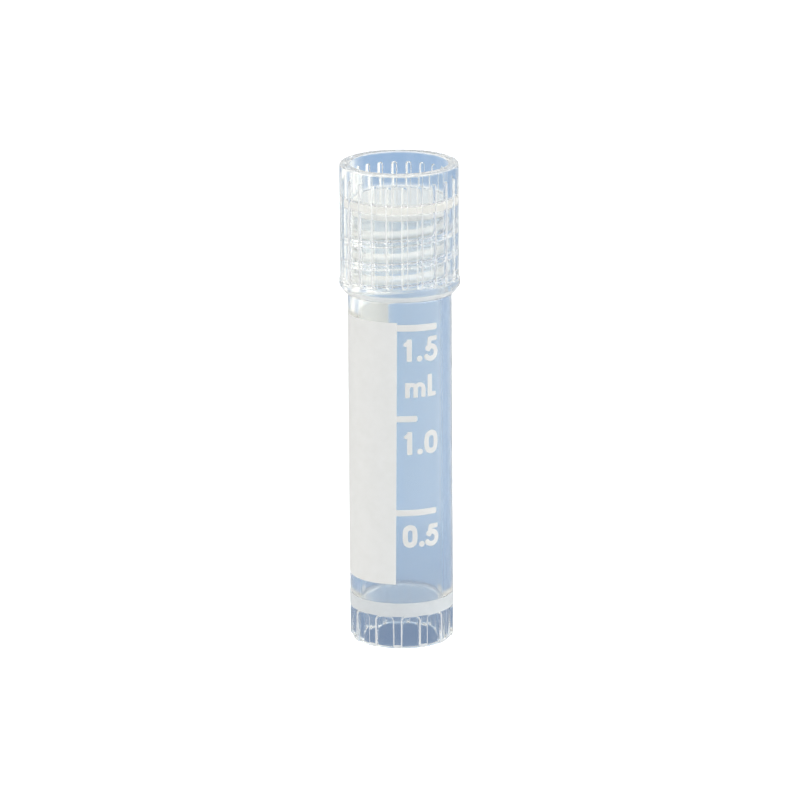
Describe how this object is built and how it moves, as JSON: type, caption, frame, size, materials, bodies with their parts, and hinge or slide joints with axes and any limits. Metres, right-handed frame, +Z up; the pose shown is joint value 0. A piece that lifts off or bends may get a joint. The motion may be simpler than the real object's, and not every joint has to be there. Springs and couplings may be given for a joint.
{
  "type": "cryovial",
  "caption": "Self-standing clear screw-capped sample vial with ribbed foot, printed volume scale, writing patch and a fluted cap with an open top well.",
  "frame": {"origin": "centre of the face that the foot stands on", "axes": "+Z up along the axis of the vial; the printed scale faces -Y, the writing patch -X"},
  "size_m": [0.012, 0.012, 0.0483],
  "materials": {
    "clear_body": "clear, slightly blue, smooth moulded plastic",
    "clear_cap": "clear smooth moulded plastic",
    "silicone": "off-white translucent silicone",
    "print_ink": "off-white printing ink, satin"
  },
  "bodies": {
    "vial": {"vial_body": "clear_body"},
    "seal": {"sealing_gasket": "silicone"},
    "cap": {"screw_cap": "clear_cap"}
  },
  "joints": [
    {"name": "cap_lift", "type": "slide", "parent": "vial", "child": "seal", "axis": [0, 0, 1], "range_m": [0, 0.0125]},
    {"name": "cap_turn", "type": "hinge", "parent": "seal", "child": "cap", "pos_m": [0, 0, 0.0445], "axis": [0, 0, 1], "range_deg": [0, 2004]}
  ],
  "couplings": [
    {"joint": "cap_turn", "follows": "cap_lift", "rad_per_m": 2792.5}
  ]
}
